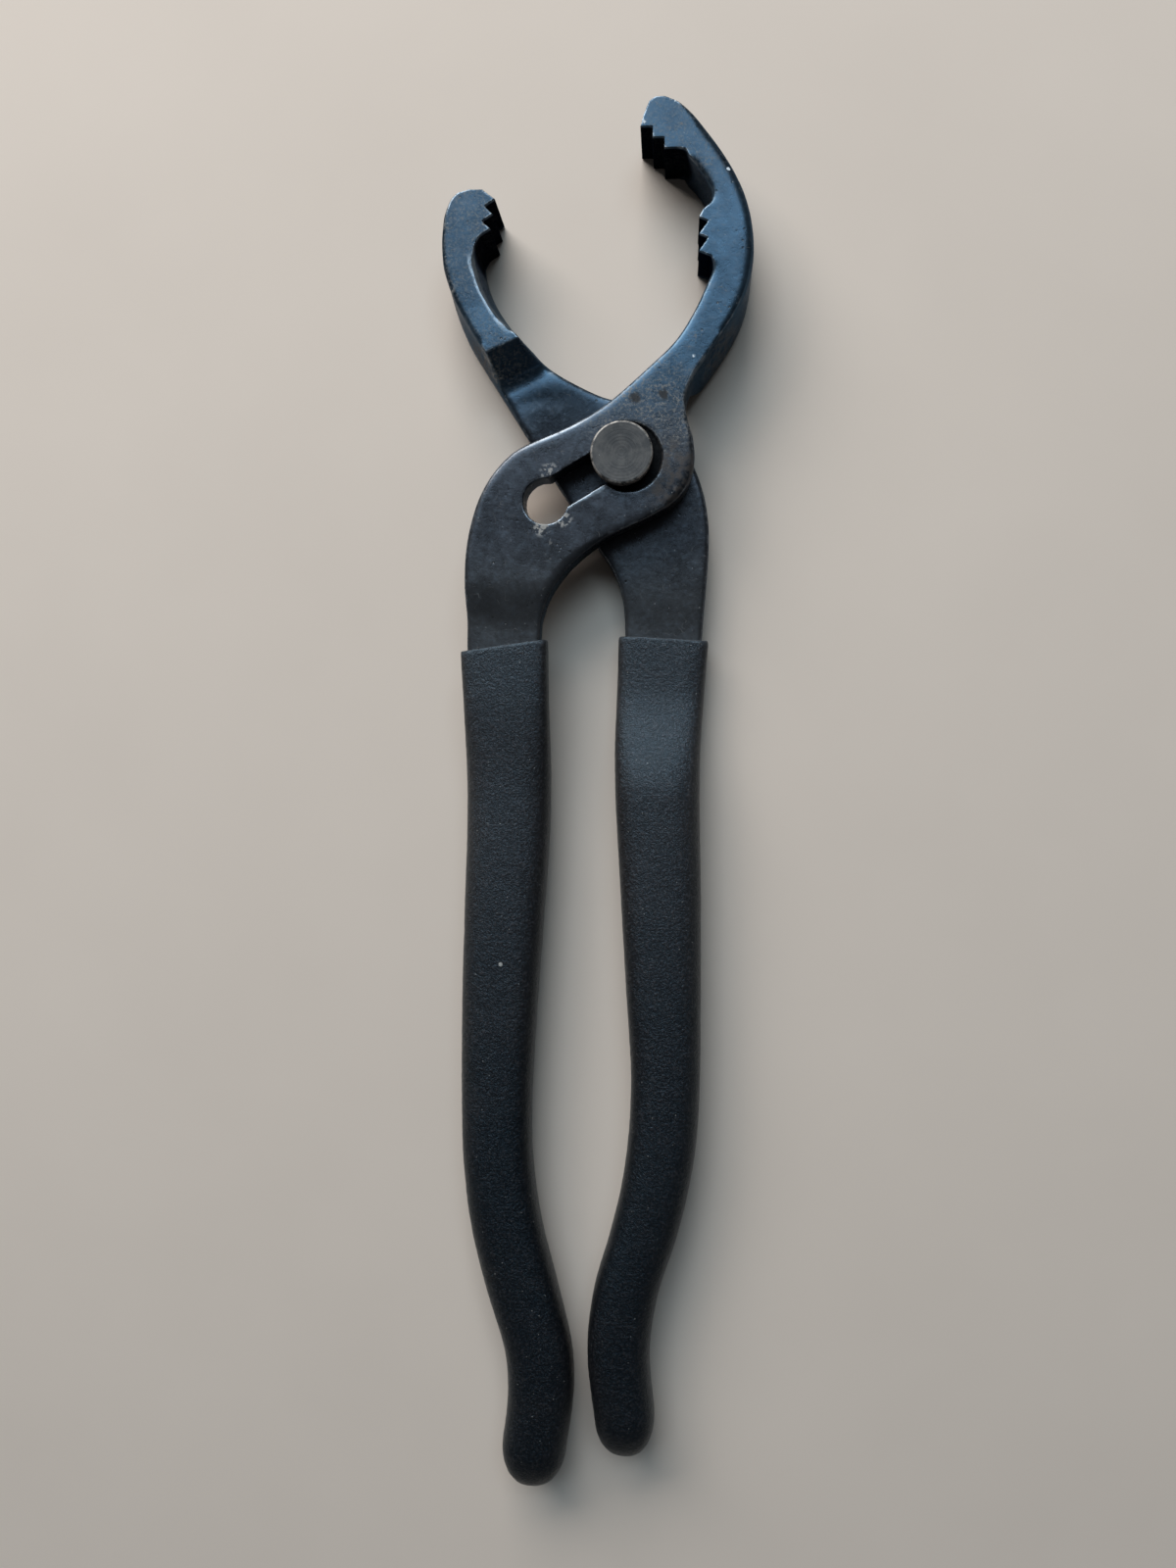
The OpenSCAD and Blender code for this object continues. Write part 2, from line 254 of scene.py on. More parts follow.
class Paint:
    """Builds one procedural material. Every method but finish gives a socket."""

    def __init__(self, name):
        self.material = bpy.data.materials.new(name)
        self.material.use_nodes = True
        self.tree = self.material.node_tree
        self.tree.nodes.clear()
        where = self.tree.nodes.new("ShaderNodeTexCoord")
        millimetres = {0: where.outputs["Object"], 1: (1 / MM,) * 3}
        self.place = self.add("ShaderNodeVectorMath", millimetres, operation="MULTIPLY").outputs[0]

    def add(self, kind, inputs, **settings):
        """New node; inputs are numbers, colours or sockets by name or place."""
        made = self.tree.nodes.new(kind)
        for name, value in settings.items():
            setattr(made, name, value)
        for name, value in inputs.items():
            if isinstance(value, bpy.types.NodeSocket):
                self.tree.links.new(value, made.inputs[name])
            else:
                made.inputs[name].default_value = value
        return made

    def math(self, operation, a, b=0.0, clamp=False):
        return self.add("ShaderNodeMath", {0: a, 1: b}, operation=operation,
                        use_clamp=clamp).outputs[0]

    def noise(self, scale, detail=3.0, roughness=0.55, place=None, distortion=0.0):
        """Soft noise about 0.5; scale is in repeats per millimetre."""
        return self.add("ShaderNodeTexNoise", {
            "Vector": place or self.place, "Scale": scale, "Detail": detail,
            "Roughness": roughness, "Distortion": distortion}).outputs[0]

    def cells(self, scale):
        """Distance to the nearest of scattered points."""
        return self.add("ShaderNodeTexVoronoi", {
            "Vector": self.place, "Scale": scale}).outputs["Distance"]

    def fade(self, value, low, high):
        """0 where value is at low, 1 where it is at high, smooth between."""
        return self.add("ShaderNodeMapRange", {
            "Value": value, "From Min": low, "From Max": high},
            interpolation_type="SMOOTHSTEP").outputs[0]

    def span(self, value, low, high):
        """Turns 0 to 1 into low to high."""
        return self.add("ShaderNodeMapRange", {
            "Value": value, "To Min": low, "To Max": high}).outputs[0]

    def mix(self, share, first, second):
        made = self.add("ShaderNodeMix", {}, data_type="RGBA")
        for name, value in (("Factor_Float", share), ("A_Color", first), ("B_Color", second)):
            socket = next(s for s in made.inputs if s.identifier == name)
            if isinstance(value, bpy.types.NodeSocket):
                self.tree.links.new(value, socket)
            else:
                socket.default_value = value if name == "Factor_Float" else (*value, 1)
        return next(s for s in made.outputs if s.identifier == "Result_Color")

    def times(self, a, b):
        return self.math("MULTIPLY", a, b)

    def plus(self, a, b, clamp=False):
        return self.math("ADD", a, b, clamp)

    def minus(self, a, b):
        return self.math("SUBTRACT", a, b)

    def most(self, a, b):
        return self.math("MAXIMUM", a, b)

    def away(self, centre):
        """Distance from a centre on the object, in millimetres."""
        return self.add("ShaderNodeVectorMath", {0: self.place, 1: centre},
                        operation="DISTANCE").outputs["Value"]

    def patch(self, centre, radius, soft=0.5):
        """1 at a centre on the object, falling to 0 at radius."""
        return self.fade(self.away(centre), radius, radius * soft)

    def part(self, axis):
        """One coordinate of the place on the object, in millimetres."""
        return self.add("ShaderNodeSeparateXYZ", {0: self.place}).outputs[axis]

    def stretched(self, scale):
        """The place on the object, scaled along X, Y and Z."""
        return self.add("ShaderNodeVectorMath", {0: self.place, 1: scale},
                        operation="MULTIPLY").outputs[0]

    def attribute(self, name):
        return self.add("ShaderNodeAttribute", {}, attribute_name=name).outputs["Fac"]

    def bump(self, height, depth):
        """Relief whose height 0 to 1 stands for depth millimetres."""
        return self.add("ShaderNodeBump", {
            "Height": height, "Distance": depth * MM, "Strength": 1.0}).outputs[0]

    def finish(self, **sockets):
        shader = self.add("ShaderNodeBsdfPrincipled", {})
        for name, value in sockets.items():
            socket = shader.inputs[name.replace("_", " ")]
            if isinstance(value, bpy.types.NodeSocket):
                self.tree.links.new(value, socket)
            else:
                socket.default_value = value if isinstance(value, float) else (*value, 1)
        output = self.tree.nodes.new("ShaderNodeOutputMaterial")
        self.tree.links.new(shader.outputs[0], output.inputs["Surface"])
        return self.material


# Colours of the levers; a pair is a darker and a lighter tone.
CHARCOAL = ((0.043, 0.046, 0.053), (0.056, 0.06, 0.07))
PALE = ((0.073, 0.077, 0.083), (0.09, 0.095, 0.102))
# Blued: partly the oxide's own tint, partly a painted reflection of the blue sky on the jaws.
BLUED_AND_SKY_SHEEN = ((0.028, 0.0485, 0.071), (0.041, 0.071, 0.103))
# Painted shade: the near black that spots of the oxide are darkened toward.
PAINTED_SHADE = (0.01, 0.011, 0.013)
BLOOM = (0.08, 0.098, 0.12)
PIT = (0.012, 0.013, 0.015)
# Bare steel on worn edges and lines, and the colour of the painted highlight lines.
BARE_STEEL_AND_HIGHLIGHT = (0.24, 0.27, 0.3)
DUST = (0.15, 0.14, 0.127)
SPECK = (0.26, 0.25, 0.24)
CURL = (0.12, 0.11, 0.1)
CHIP = (0.23, 0.22, 0.205)
FLECK = (0.5, 0.54, 0.57)
CLOD = (0.018, 0.014, 0.011)
RUST = (0.05, 0.037, 0.027)
# Painted shade: near black for the shaded tooth walls and the rivet head's shadow.
DEEP_SHADE = (0.003, 0.003, 0.003)
OXIDE_GLOSS_TINT = (0.3, 0.37, 0.45)
# Along Y, in millimetres: where charcoal turns blued toward the jaws, and pale toward the grips.
# The blue toward the jaws is partly the oxide's tint and partly a painted reflection of the sky.
TO_BLUED_AND_SKY_SHEEN = (1, 19)
TO_PALE = (-14, -34)
# Z, in millimetres, between the jaws' upper faces and their walls.
FACE_EDGE = (14.6, 13.9)


def steel_colour(p, cloud, painted_shades):
    """Colour of the clean oxide, darkened by painted shade in the listed spots."""
    tone = p.fade(cloud, 0.35, 0.65)
    charcoal = p.mix(tone, *CHARCOAL)
    charcoal = p.mix(p.fade(p.part("Y"), *TO_PALE), charcoal, p.mix(tone, *PALE))
    # Toward the jaws the colour turns blue, partly oxide tint and partly painted sky reflection.
    colour = p.mix(p.fade(p.part("Y"), *TO_BLUED_AND_SKY_SHEEN), charcoal, p.mix(tone, *BLUED_AND_SKY_SHEEN))
    # Painted shade: each spot is darkened toward near black, as if it lay in shade.
    for centre, radius, share in painted_shades:
        colour = p.mix(p.times(p.patch(centre, radius, 0.3), share), colour, PAINTED_SHADE)
    return colour


def wear_and_highlights(p, fine):
    """How far the oxide is worn off on sharp edges and along worn lines, and how bright the
    painted highlight lines are.
    """
    patchy = p.plus(p.noise(0.5, 4.0, 0.65), p.times(fine, 0.3))
    edge = p.fade(p.attribute("edge"), 0.5, 1.1)
    rub_and_highlight = p.fade(p.attribute("rub_and_highlight"), 0.25, 0.8)
    return p.most(p.times(edge, p.fade(patchy, 0.56, 0.76)),
                  p.times(rub_and_highlight, p.fade(patchy, 0.48, 0.64)))


def dust_share(p, fine, dusty):
    """How much dust lies on the surface."""
    dust = 0.0
    for centre, radius, share in dusty:
        dust = p.most(dust, p.times(p.patch(centre, radius, 0.35), share))
    dust = p.times(dust, p.span(p.fade(p.noise(0.28, 2.0), 0.36, 0.6), 0.45, 1.0))
    dust = p.times(dust, p.fade(p.noise(1.6, 5.0, 0.8), 0.49, 0.6))
    return p.times(p.plus(dust, p.times(p.fade(fine, 0.6, 0.8), 0.25)), 0.85)


def marks(p, mottle, chips, flecks, dirt, stains):
    """Small marks on the oxide, as rows of share and colour."""
    specks = p.times(p.fade(p.cells(0.6), 0.09, 0.05), p.fade(p.noise(0.9, 1.0), 0.48, 0.54))
    curls = p.math("ABSOLUTE", p.minus(p.noise(0.33, 1.0), 0.5))
    curls = p.times(p.fade(curls, 0.007, 0.002), p.fade(p.noise(0.5, 2.0), 0.55, 0.6))
    rows = [(p.times(specks, 0.6), SPECK), (p.times(curls, 0.5), CURL)]
    scratch = p.fade(p.noise(0.95, 3.0, 0.6), 0.5, 0.55)
    rows += [(p.times(p.patch(*chip, 0.35), scratch), CHIP) for chip in chips]
    ragged = p.times(p.minus(mottle, 0.5), 1.6)
    for centre, radius in flecks:
        rows.append((p.fade(p.plus(p.away(centre), ragged), radius, radius * 0.6), FLECK))
    for centre, radius in dirt:
        clod = p.fade(p.plus(p.away(centre), p.times(ragged, 1.6)), radius, radius * 0.4)
        rows.append((p.times(clod, 0.85), CLOD))
    for spot in stains:
        stain = p.times(p.patch(*spot), p.fade(p.noise(0.6, 4.0, 0.65), 0.4, 0.6))
        rows.append((p.times(stain, 0.6), RUST))
    return rows


def painted_recess_shade(p, tooth_wall_shade, shadowed_hollow):
    """How much painted shade goes on the tooth walls near the spots and in the hollow round the
    rivet.
    """
    below_face = p.fade(p.part("Z"), *FACE_EDGE)
    recess_shade = 0.0
    for spot in tooth_wall_shade:
        recess_shade = p.most(recess_shade, p.times(p.patch(*spot, 0.8), below_face))
    if shadowed_hollow:
        low = p.fade(p.part("Z"), shadowed_hollow[0][2] + 0.35, shadowed_hollow[0][2] + 0.15)
        recess_shade = p.most(recess_shade, p.times(p.patch(*shadowed_hollow, 0.95), low))
    return recess_shade


def black_oxide(name, dusty, painted_shades, chips, stains, tooth_wall_shade, flecks=(), dirt=(), shadowed_hollow=None):
    """Forged steel with a black oxide finish, worn and dusty in places, with painted light and
    shade.

    A spot is a centre on the lever and a radius, in millimetres. Every list holds spots, with
    a share too in the dusty spots and in the spots of painted shade. One list holds the spots
    round the teeth, whose walls are painted near black as shade, and one spot is the hollow
    round the rivet, painted near black as the shadow of the rivet's head.
    """
    p = Paint(name)
    cloud = p.noise(0.13, 3.0, 0.6)
    mottle = p.noise(0.9, 4.0, 0.62)
    fine = p.noise(3.2, 3.0, 0.6)
    pits = p.times(p.fade(p.cells(0.6), 0.24, 0.1), p.fade(p.noise(0.3), 0.5, 0.62))

    colour = steel_colour(p, cloud, painted_shades)
    colour = p.mix(p.times(p.fade(mottle, 0.5, 0.72), 0.3), colour, BLOOM)
    colour = p.mix(p.times(pits, 0.6), colour, PIT)
    # Worn edges and lines lighten toward bare steel, as do the painted highlight lines.
    colour = p.mix(p.times(wear_and_highlights(p, fine), 0.6), colour, BARE_STEEL_AND_HIGHLIGHT)
    cover = dust_share(p, fine, dusty)
    colour = p.mix(cover, colour, DUST)
    for share, paint in marks(p, mottle, chips, flecks, dirt, stains):
        colour = p.mix(share, colour, paint)
        cover = p.most(cover, share)
    recess_shade = painted_recess_shade(p, tooth_wall_shade, shadowed_hollow)
    # Painted shade: tooth walls and the hollow round the rivet go near black, as shade and the
    # head's shadow.
    colour = p.mix(p.times(recess_shade, 0.95), colour, DEEP_SHADE)

    roughness = p.plus(p.span(cloud, 0.25, 0.35), p.times(p.minus(mottle, 0.5), 0.25))
    roughness = p.plus(p.plus(roughness, p.times(cover, 0.35)), p.times(recess_shade, 0.32), clamp=True)
    metallic = p.plus(p.span(cover, 0.8, 0.0), p.times(recess_shade, 0.2))
    height = p.plus(p.times(mottle, 0.75), p.times(fine, 0.25))
    height = p.minus(height, p.times(pits, 0.45))
    return p.finish(Base_Color=colour, Metallic=metallic, Roughness=roughness,
                    Normal=p.bump(height, 0.05), Specular_Tint=OXIDE_GLOSS_TINT)


# Colours of the rivet and washer.
STEEL = ((0.035, 0.034, 0.034), (0.066, 0.062, 0.059))
GROOVE = (0.11, 0.106, 0.1)
STEEL_SPECK = (0.2, 0.19, 0.18)
WORN_RIM = (0.36, 0.33, 0.3)


def turned_steel(name, rim):
    """Dark steel with turning grooves about Z; beyond the radius rim it is worn bright."""
    p = Paint(name)
    away = p.add("ShaderNodeVectorMath", {0: p.stretched((1, 1, 0))}, operation="LENGTH")
    away = away.outputs["Value"]
    ring = p.add("ShaderNodeCombineXYZ", {"X": away}).outputs[0]
    grooves = p.noise(2.6, 4.0, 0.7, place=ring)
    cloud = p.noise(0.35, 4.0, 0.6)
    fine = p.noise(5.0, 3.0, 0.6)
    colour = p.mix(p.fade(cloud, 0.35, 0.65), *STEEL)
    colour = p.mix(p.times(p.fade(grooves, 0.5, 0.7), 0.3), colour, GROOVE)
    specks = p.times(p.fade(p.cells(1.1), 0.12, 0.07), p.fade(cloud, 0.5, 0.6))
    colour = p.mix(specks, colour, STEEL_SPECK)
    worn = p.times(p.fade(away, rim, rim + 0.3), p.fade(p.noise(0.7, 4.0, 0.6), 0.38, 0.56))
    colour = p.mix(p.times(worn, 0.8), colour, WORN_RIM)
    roughness = p.plus(p.span(cloud, 0.36, 0.52), p.times(fine, 0.08))
    height = p.plus(p.times(grooves, 0.6), p.times(fine, 0.4))
    return p.finish(Base_Color=colour, Metallic=0.55, Roughness=roughness,
                    Normal=p.bump(height, 0.03))


# Colours of the grips; the pair is the coating at the darker ends and at the paler, dustier
# tops, the change partly painted light that falls off toward the ends.
RUBBER = ((0.0022, 0.0022, 0.0028), (0.014, 0.0113, 0.0105))
RAISED = (0.039, 0.0345, 0.0355)
GRIT = (0.04, 0.042, 0.045)
LIP = (0.04, 0.044, 0.05)
LINT = (0.3, 0.295, 0.28)
RUBBER_GLOSS_TINT = (0.5, 0.78, 1.0)
# Y, in millimetres, between the grips' darker ends and their paler tops, with dust and painted
# light that falls off toward the ends.
DUST_AND_FALLOFF_ALONG = (-175, -50)
# Place of a bit of lint stuck to the left grip, in millimetres.
LINT_PLACE = (-26.45, -109.05, 13.65)


def dipped_rubber(name):
    """Matte black coating with a fine wrinkled grit, paler toward the joint from dust and painted
    light.
    """
    p = Paint(name)
    across = p.stretched((1.05, 0.95, 1.0))
    wrinkles = p.noise(1.75, 4.0, 0.7, place=across, distortion=0.25)
    grit = p.noise(4.2, 2.0, 0.6, place=across)
    broad = p.noise(0.07, 3.0, 0.6)
    # Painted light and dust: paler toward the joint, darker toward the grips' ends.
    dust_and_light_falloff = p.fade(p.part("Y"), *DUST_AND_FALLOFF_ALONG)
    dust_and_light_falloff = p.plus(dust_and_light_falloff, p.times(p.minus(broad, 0.5), 0.8), True)
    colour = p.mix(dust_and_light_falloff, *RUBBER)
    raised = p.times(p.fade(wrinkles, 0.5, 0.63), p.span(dust_and_light_falloff, 0.35, 0.85))
    colour = p.mix(raised, colour, RAISED)
    colour = p.mix(p.times(p.fade(grit, 0.6, 0.74), 0.45), colour, GRIT)
    lip = p.fade(p.attribute("edge"), 0.3, 0.8)
    colour = p.mix(p.times(p.times(lip, dust_and_light_falloff), 0.5), colour, LIP)
    dust = p.times(p.fade(p.cells(0.6), 0.085, 0.05), p.fade(p.noise(0.6, 1.0), 0.44, 0.52))
    lint = p.fade(p.away(LINT_PLACE), 0.55, 0.3)
    colour = p.mix(p.most(p.times(dust, 0.6), p.times(lint, 0.9)), colour, LINT)
    roughness = p.plus(0.28, p.times(wrinkles, 0.16))
    height = p.plus(p.times(wrinkles, 0.75), p.times(grit, 0.25))
    return p.finish(Base_Color=colour, Roughness=roughness, Normal=p.bump(height, 0.34),
                    Specular_IOR_Level=0.46, Specular_Tint=RUBBER_GLOSS_TINT)


# ---------------------------------------------------------------- pieces

def mark_edges(mesh):
    """Stores how sharply the surface curves outward at each vertex, in 1/mm."""
    first, second, share = neighbours(mesh)
    count = len(mesh.vertices)
    points = points_of(mesh)
    step = points[second] - points[first]
    square = np.bincount(first, (step ** 2).sum(1), count) * share
    middle = np.stack([np.bincount(first, step[:, a], count) for a in range(3)], 1)
    middle = middle * share[:, None]
    curve = -4 * (middle * normals_of(mesh)).sum(1) / np.maximum(square, 1e-12) * MM
    for _ in range(EDGE_ROUNDS):
        curve = 0.5 * curve + 0.5 * np.bincount(first, curve[second], count) * share
    stored = mesh.attributes.new("edge", "FLOAT", "POINT")
    stored.data.foreach_set("value", curve.astype(np.float32))


def mark_rubs_and_highlights(mesh, lines):
    """Stores how bright each vertex is, from 0 to 1, near lines on the upper faces; some lines are
    worn steel, others a painted highlight.
    """
    points = points_of(mesh)
    rub_and_highlight_share = np.zeros(len(points))
    for line, width in lines:
        away, _, _, value = along_line(points, line)
        rub_and_highlight_share = np.maximum(rub_and_highlight_share, value * smooth_step(away, width, width / 4))
    rub_and_highlight_share *= smooth_step(points[:, 2], *RUB_AND_HIGHLIGHT_HEIGHTS)
    stored = mesh.attributes.new("rub_and_highlight", "FLOAT", "POINT")
    stored.data.foreach_set("value", rub_and_highlight_share.astype(np.float32))


def uneven(mesh, layers):
    """Sinks the surface by soft noise; layers are (wavelength, depth) in millimetres."""
    points, normals = points_of(mesh), normals_of(mesh)
    sunk = np.zeros(len(points))
    for wavelength, depth in layers:
        scale = 1 / (wavelength * MM)
        waves = np.array([noise.noise(Vector(p) * scale) for p in points])
        sunk += depth * MM * np.clip(0.5 + 0.5 * waves, 0, 1)
    put_points(mesh, points - sunk[:, None] * normals)


def round_edges(mesh, shape):
    """Rounds a lever's edges, less where shape says that they are crisp or make a crest."""
    points = points_of(mesh)
    strength = np.full(len(points), HALFWAY)
    for centre, inner, outer, share in shape["crisp"]:
        strength *= 1 - near(points, centre, inner, outer) * (1 - share)
    for line, inner, outer, share in shape["crests"]:
        crest = smooth_step(along_line(points, line)[0], outer, inner)
        strength *= 1 - crest * smooth_step(points[:, 2], *CREST_HEIGHTS) * (1 - share)
    relax(mesh, strength, LEVER_ROUNDS)


def soften(mesh, line, reach, bottom, top, rounds):
    """Rounds a lever further within reach of a line, between heights bottom and top."""
    points = points_of(mesh)
    away, _, _, value = along_line(points, line)
    strength = HALFWAY * value * smooth_step(away, reach, reach * 0.6)
    strength *= smooth_step(points[:, 2], bottom * MM, (bottom + 2) * MM)
    strength *= smooth_step(points[:, 2], (top + 2) * MM, top * MM)
    relax(mesh, strength, rounds)


def forging(name, node, shape, paint):
    """One lever with forged, rounded edges; shape says where it is crisp, soft or drafted."""
    piece = welded_copy(name, node)
    tang = welded_copy("tang", node)
    low, high = cad_low - Vector((MM,) * 3), cad_high + Vector((MM,) * 3)
    combine(piece, block((low.x, TANG_CUT, low.z), high), "INTERSECT")
    combine(tang, block(low, (high.x, TANG_CUT + TANG_OVERLAP, high.z)), "INTERSECT")
    even(piece, LEVER_VOXEL)
    for row in shape["drafts"]:
        draft(piece.data, *row)
    for row in shape["troughs"]:
        trough(piece.data, *row)
    round_edges(piece.data, shape)
    for row in shape["soft"]:
        soften(piece.data, *row)
    uneven(piece.data, FORGED_SKIN)
    thin(piece, LEVER_KEPT)
    combine(piece, tang, "UNION")
    mark_edges(piece.data)
    mark_rubs_and_highlights(piece.data, shape["rubs_and_highlights"])
    dress(piece.data, paint)
    return piece


def sleeve(name, node, paint):
    """One grip with a soft lip, rounder sides below it and a lumpy skin."""
    piece = welded_copy(name, node)
    even(piece, SLEEVE_VOXEL)
    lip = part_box(node)[1][1]
    below_lip = smooth_step(points_of(piece.data)[:, 1], lip - LIP_FADE[0], lip - LIP_FADE[1])
    relax(piece.data, HALFWAY * below_lip, SLEEVE_ROUNDS)
    relax(piece.data, np.full(len(piece.data.vertices), HALFWAY), LIP_ROUNDS)
    uneven(piece.data, DIPPED_SKIN)
    thin(piece, SLEEVE_KEPT)
    mark_edges(piece.data)
    dress(piece.data, paint)
    return piece


def round_rows(radius, height, size, start, end, steps=5):
    """Profile rows along part of a circle; angles in degrees, 0 pointing outward."""
    angles = np.radians(np.linspace(start, end, steps))
    return [(radius + size * math.cos(a), height + size * math.sin(a), False) for a in angles]


def turned(name, profile, paint, flats=(0, 0), ring=False):
    """Solid of revolution about Z, or a ring whose profile closes on itself.

    Profile rows are radius, height and whether the flats cut them, anticlockwise from the
    bottom; flats is half their width in mm and their direction in degrees.
    """
    angles = np.arange(SIDES) * 2 * math.pi / SIDES
    turn = math.radians(flats[1])
    rows = []
    for radius, height, flattened in profile:
        along, across = radius * np.cos(angles), radius * np.sin(angles)
        if flattened:
            across = np.clip(across, -flats[0], flats[0])
        x = along * math.cos(turn) - across * math.sin(turn)
        y = along * math.sin(turn) + across * math.cos(turn)
        rows.append(np.stack([x, y, np.full(SIDES, height)], 1))
    faces = []
    for row in range(len(rows) if ring else len(rows) - 1):
        a, b = row * SIDES, (row + 1) % len(rows) * SIDES
        for i in range(SIDES):
            j = (i + 1) % SIDES
            faces.append((a + i, a + j, b + j, b + i))
    if not ring:
        top = (len(rows) - 1) * SIDES
        faces.append(tuple(reversed(range(SIDES))))
        faces.append(tuple(range(top, top + SIDES)))
    mesh = bpy.data.meshes.new(name)
    mesh.from_pydata((np.concatenate(rows) * MM).tolist(), [], faces)
    mesh.update()
    dress(mesh, paint)
    mesh.set_sharp_from_angle(angle=math.radians(35))
    return link(name, mesh)


def rivet_profile():
    """Tail, journal, flatted shank and head, up to the turned top of the head."""
    rows = [(0.3, 0.4, False), (1.1, 0.36, False), (1.6, 0.16, False), (2.1, 0.03, False),
            (2.8, 0, False), (4.7, 0, False), (5.15, 0.08, False), (5.6, 0.38, False),
            (5.75, 0.6, False), (4.5, 0.6, False), (4.5, 7.5, False), (4.45, 7.5, True),
            (4.45, 15.1, True), (6.3, 15.1, False)]
    rows += round_rows(HEAD_RADIUS - 0.2, 15.3, 0.2, -90, 0)
    rows += round_rows(HEAD_RADIUS - 0.5, HEAD_TOP - 0.5, 0.5, 0, 90, 7)
    for radius in np.arange(HEAD_RADIUS - 0.7, 0.2, -0.15):
        groove = 0.5 + 0.3 * math.sin(radius * 9) + 0.2 * math.sin(radius * 17 + 1)
        dish = 0.12 * (1 - radius / HEAD_RADIUS)
        rows.append((radius, HEAD_TOP - 0.014 * groove - dish, False))
    return rows


def washer_profile():
    """Stamped washer with one rounded edge and one slight burr."""
    rows = [(4.75, 0.7, False), (6.5, 0.7, False)]
    rows += round_rows(6.55, 1.1, 0.4, -90, 0)
    rows += [(6.95, 1.8, False), (6.85, 1.9, False), (4.65, 1.9, False), (4.55, 1.8, False),
             (4.55, 0.9, False)]
    return rows


LEVER_VOXEL = 0.2 * MM
SLEEVE_VOXEL = 0.4 * MM
# Rounds of relaxing, and how far toward its neighbours' middle a vertex moves in each.
LEVER_ROUNDS = 90
SLEEVE_ROUNDS = 26
LIP_ROUNDS = 3
HALFWAY = 0.5
# Rounds of evening out the stored sharpness of the edges.
EDGE_ROUNDS = 4
# Share of the faces kept when a piece is thinned.
LEVER_KEPT = 0.4
SLEEVE_KEPT = 0.6
# Unevenness of the skins: wavelength and depth, in millimetres.
FORGED_SKIN = ((9, 0.05), (2.4, 0.02))
DIPPED_SKIN = ((7, 0.08), (1.5, 0.09))
# Heights over which the lines called crests, and the worn and highlight lines, begin to count.
CREST_HEIGHTS = (9 * MM, 11 * MM)
RUB_AND_HIGHLIGHT_HEIGHTS = (12 * MM, 13.5 * MM)
# Below the top of a grip, where the extra rounding starts and where it is full.
LIP_FADE = (4 * MM, 9 * MM)
# Where each lever's tang, hidden in its grip, goes on as plain CAD, and the overlap there.
TANG_CUT = -58 * MM
TANG_OVERLAP = 2 * MM
# Sides of a turned piece.
SIDES = 128

# Radius and top of the rivet's head, and direction of the slot, in millimetres and degrees.
HEAD_RADIUS = 6.5
HEAD_TOP = 18
FLATS = (3.5, 207.25)

# Where each lever differs from an even forging, in millimetres.
# crisp: centre, inner and outer radius, share of the rounding that is left.
# crests: line, inner and outer distance, share of the rounding that is left.
# soft: line with its strength, reach, lowest and highest Z, rounds of extra rounding.
# drafts: line with the lean at each point, reach into the lever, lowest and highest Z.
# troughs: line with the depth at each point, reach, Z of the flat.
# worn and highlight lines: line with the brightness at each point, and its width; the line along
# the boss's upper-left edge is a painted highlight, the others are worn.
UPPER_SHAPE = {
    "crisp": (
        ((7.5, 65), 7.5, 10.5, 0.02),
        ((16.5, 44.5), 5.5, 8, 0.02),
        ((1.3, -0.4), 9.5, 12, 0.1),
        ((-8, -4.7), 6, 9, 0.1),
        ((-16.2, -9.35), 6, 9, 0.1),
    ),
    "crests": (
        (((19.5, 22.5, 0), (16.4, 18.9, 0), (13.8, 14, 0), (13.4, 10.7, 0)), 1.8, 3.5, 0.15),
    ),
    "soft": (
        (((11.5, 71, 0), (14.5, 69, 0.4), (17.6, 65.6, 1), (22, 59.6, 1), (25.4, 53, 1),
          (27.2, 45.5, 1), (27.2, 38, 1), (25.8, 31, 0.3)), 4.5, 6, 20, 260),
        (((14.6, 4, 0), (15.4, -1, 0.7), (15.2, -5, 1), (14, -9, 1), (11, -12.7, 1),
          (6.3, -15.7, 1), (1.1, -18.1, 1), (-4, -19.9, 1), (-8.8, -22.5, 1), (-12.4, -26, 1),
          (-15.5, -30.7, 0.8), (-17.2, -37, 0)), 3.2, 8, 20, 150),
    ),
    "drafts": (
        (((27.3, 40, 0), (26.6, 34, 0.6), (25.6, 30.2, 1.2), (21.6, 22.8, 1.9), (17, 16.4, 1.9),
          (14.4, 12.2, 1.3), (13.9, 8.5, 0.4), (14.6, 4, 0)), 6, 3, 15),
    ),
    "troughs": (),
    "rubs_and_highlights": (
        (((19.5, 22.6, 0), (16.5, 18.9, 1), (14.9, 16.6, 1), (13.65, 14, 1),
          (13.3, 10.7, 0.3)), 0.8),
        # Painted highlight: the blue sky's reflection along the boss's upper-left edge.
        (((-22, 1.2, 0.4), (-16, 3.6, 0.6), (-10, 6.2, 0.6), (-4, 9.8, 0.3), (0, 13, 0)), 0.8),
        (((-13.5, -12, 1), (-9, -9.3, 0.7), (-4, -6.9, 0.8)), 0.8),
    ),
}
